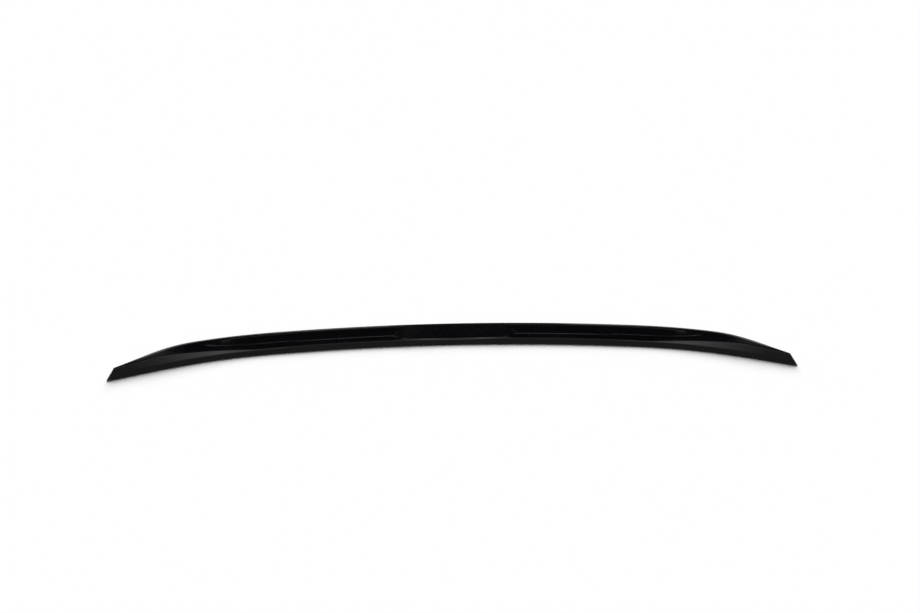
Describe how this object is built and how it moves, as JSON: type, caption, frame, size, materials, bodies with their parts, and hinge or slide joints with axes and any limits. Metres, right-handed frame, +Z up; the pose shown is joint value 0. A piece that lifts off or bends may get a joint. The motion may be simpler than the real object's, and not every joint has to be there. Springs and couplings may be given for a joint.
{
  "type": "lip spoiler",
  "caption": "Bowed gloss-black boot-lid lip spoiler with a low front lip, a creased trough rising to a crest, a flat middle panel and raked, tapering ends.",
  "frame": {"origin": "centre of the bounding box's base: on the symmetry plane, on the plane of the flat tape lands", "axes": "+X from tip to tip, +Y from the front lip back to the crest, +Z up away from the lid"},
  "size_m": [1.1974, 0.14, 0.0215],
  "materials": {
    "gloss_black": "gloss black moulded plastic"
  },
  "bodies": {
    "root": {"lip_spoiler": "gloss_black"}
  },
  "joints": []
}
